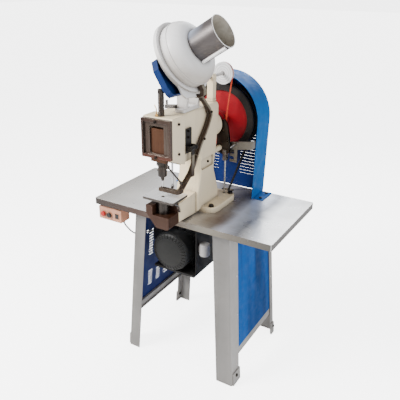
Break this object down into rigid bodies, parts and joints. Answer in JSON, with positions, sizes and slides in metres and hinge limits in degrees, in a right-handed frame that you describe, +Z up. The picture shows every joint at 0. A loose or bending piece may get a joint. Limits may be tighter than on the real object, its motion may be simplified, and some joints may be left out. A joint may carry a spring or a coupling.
{
  "type": "eyelet machine",
  "caption": "Powered eyelet setting machine on a steel stand with table, motor, guarded flywheel, hopper, feed track, sliding ram and work plate.",
  "frame": {"origin": "on the floor under the middle of the table, where the stand's middle plane meets the line that halves the table's depth", "axes": "+X to the operator's right, -Y towards the operator, +Z up; the main shaft runs along Y"},
  "size_m": [0.88, 0.625, 1.5956],
  "materials": {
    "wrapped_board": "board wrapped in stainless sheet",
    "grey_paint": "smooth paint",
    "panel_blue": "smooth paint",
    "dark_blue": "smooth paint",
    "guard_blue": "smooth paint",
    "cover_blue": "smooth paint",
    "cream_casting": "painted casting",
    "bronze_brown": "machined, oiled",
    "bearing_bronze": "turned",
    "dark_steel": "blued steel",
    "bright_steel": "machined",
    "polished_steel": "polished",
    "zinc_bolts": "zinc plated",
    "red_black_iron": "painted web, bare rim",
    "bowl_grey": "painted",
    "funnel_steel": "rolled sheet",
    "brush_nylon": "bristle",
    "wheel_nylon": "moulded",
    "pulley_nylon": "moulded",
    "orange_belt": "smooth cord",
    "black_belt": "fabric faced",
    "charcoal": "satin paint",
    "black_plastic": "moulded",
    "grey_plastic": "moulded",
    "peach_plastic": "moulded",
    "red_plastic": "moulded",
    "grey_lead": "sheathed"
  },
  "bodies": {
    "stand_and_head": {"table_top": "wrapped_board", "side_frame_left": "grey_paint", "side_frame_right": "grey_paint", "side_panel_left": "dark_blue", "side_panel_right": "panel_blue", "hex_bolts": "zinc_bolts", "socket_screws": "dark_steel", "panel_screws": "polished_steel", "machine_frame": "cream_casting", "shaft_bushes": "bearing_bronze", "head_cover": "bronze_brown", "side_rod": "polished_steel", "stay_bar": "dark_steel", "oil_nipple": "bearing_bronze", "anvil_block": "bronze_brown", "anvil_post": "dark_steel", "work_plate": "bright_steel", "plate_bracket": "bright_steel", "hopper_carrier": "bowl_grey", "hopper_bowl": "bowl_grey", "hopper_funnel": "funnel_steel", "drive_bracket": "cream_casting", "gear_cover": "cover_blue", "round_belt": "orange_belt", "feed_track_upper": "dark_steel", "v_belt": "black_belt", "guard_bar": "dark_steel", "belt_guard": "guard_blue", "guard_back": "dark_blue", "motor_body": "charcoal", "motor_fan_cover": "black_plastic", "terminal_box": "black_plastic", "capacitor": "grey_plastic", "motor_shelf": "charcoal", "switch_box": "peach_plastic", "switch_lead": "grey_lead", "lead_clips": "grey_plastic"},
    "shaft_body": {"crankshaft": "polished_steel", "clutch_sleeve": "dark_steel"},
    "flywheel_body": {"flywheel": "red_black_iron"},
    "rotor_body": {"motor_rotor": "bright_steel", "motor_pulley": "dark_steel"},
    "worm_body": {"worm_shaft": "bright_steel", "hopper_pulley": "pulley_nylon"},
    "brush_body": {"hopper_brush": "brush_nylon", "worm_wheel": "wheel_nylon"},
    "ram_body": {"ram_slide": "bright_steel", "ram_spindle": "dark_steel", "needle_chuck": "dark_steel"},
    "needle_body": {"needle": "polished_steel"},
    "track_body": {"feed_track_lower": "dark_steel", "track_link": "bright_steel"},
    "trip_lever_body": {"trip_lever": "dark_steel", "trip_spring": "polished_steel"},
    "trip_rod_body": {"trip_rod": "bright_steel"},
    "stop_button_body": {"stop_button": "red_plastic"},
    "start_button_body": {"start_button": "black_plastic"},
    "rocker_body": {"rocker_switch": "black_plastic"},
    "thumb_screw_body": {"thumb_screw": "dark_steel"},
    "barrel_body": {"adjusting_barrel": "dark_steel"}
  },
  "joints": [
    {"name": "main_shaft_spin", "type": "hinge", "parent": "stand_and_head", "child": "shaft_body", "pos_m": [0, 0, 1.127], "axis": [0, 1, 0], "continuous": true},
    {"name": "flywheel_spin", "type": "hinge", "parent": "stand_and_head", "child": "flywheel_body", "pos_m": [0, 0.151, 1.127], "axis": [0, 1, 0], "continuous": true},
    {"name": "motor_spin", "type": "hinge", "parent": "stand_and_head", "child": "rotor_body", "pos_m": [-0.078, 0, 0.565], "axis": [0, 1, 0], "continuous": true},
    {"name": "worm_spin", "type": "hinge", "parent": "stand_and_head", "child": "worm_body", "pos_m": [0.02746, 0, 1.33892], "axis": [0, 1, 0], "continuous": true},
    {"name": "brush_spin", "type": "hinge", "parent": "stand_and_head", "child": "brush_body", "pos_m": [0.033, -0.18, 1.453], "axis": [0.8545, 0, 0.5195], "continuous": true},
    {"name": "ram_stroke", "type": "slide", "parent": "stand_and_head", "child": "ram_body", "axis": [0, 0, 1], "range_m": [-0.064, 0]},
    {"name": "needle_spring", "type": "slide", "parent": "ram_body", "child": "needle_body", "axis": [0, 0, 1], "range_m": [0, 0.012], "stiffness_N_per_m": 300, "springref_m": -0.003},
    {"name": "track_swing", "type": "hinge", "parent": "stand_and_head", "child": "track_body", "pos_m": [0.082, -0.232, 1.105], "axis": [0, 1, 0], "range_deg": [-17, 0]},
    {"name": "trip_swing", "type": "hinge", "parent": "stand_and_head", "child": "trip_lever_body", "pos_m": [0.04, 0.076, 1.02], "axis": [0, 1, 0], "range_deg": [0, 14], "stiffness_Nm_per_rad": 1.2, "springref_deg": -28.65, "deforming": ["trip_spring"]},
    {"name": "trip_rod_pull", "type": "slide", "parent": "stand_and_head", "child": "trip_rod_body", "axis": [0, 0, 1], "range_m": [-0.0065, 0]},
    {"name": "stop_push", "type": "slide", "parent": "stand_and_head", "child": "stop_button_body", "axis": [0, 1, 0], "range_m": [0, 0.003], "stiffness_N_per_m": 500},
    {"name": "start_push", "type": "slide", "parent": "stand_and_head", "child": "start_button_body", "axis": [0, 1, 0], "range_m": [0, 0.003], "stiffness_N_per_m": 500},
    {"name": "rocker_tilt", "type": "hinge", "parent": "stand_and_head", "child": "rocker_body", "pos_m": [-0.327, -0.222, 0.705], "axis": [1, 0, 0], "range_deg": [-8, 0]},
    {"name": "thumb_screw_turn", "type": "hinge", "parent": "stand_and_head", "child": "thumb_screw_body", "pos_m": [-0.045, -0.323, 0.864], "axis": [1, 0, 0], "range_deg": [-180, 180]},
    {"name": "barrel_turn", "type": "hinge", "parent": "stand_and_head", "child": "barrel_body", "pos_m": [0, -0.323, 1.28], "axis": [0, 0, 1], "range_deg": [-180, 180]}
  ],
  "couplings": [
    {"joint": "motor_spin", "follows": "flywheel_spin", "ratio": 4.0789},
    {"joint": "worm_spin", "follows": "flywheel_spin", "ratio": 1},
    {"joint": "brush_spin", "follows": "flywheel_spin", "ratio": 0.025},
    {"joint": "track_swing", "follows": "ram_stroke", "rad_per_m": 4.63},
    {"joint": "trip_rod_pull", "follows": "trip_swing", "m_per_rad": -0.026}
  ]
}
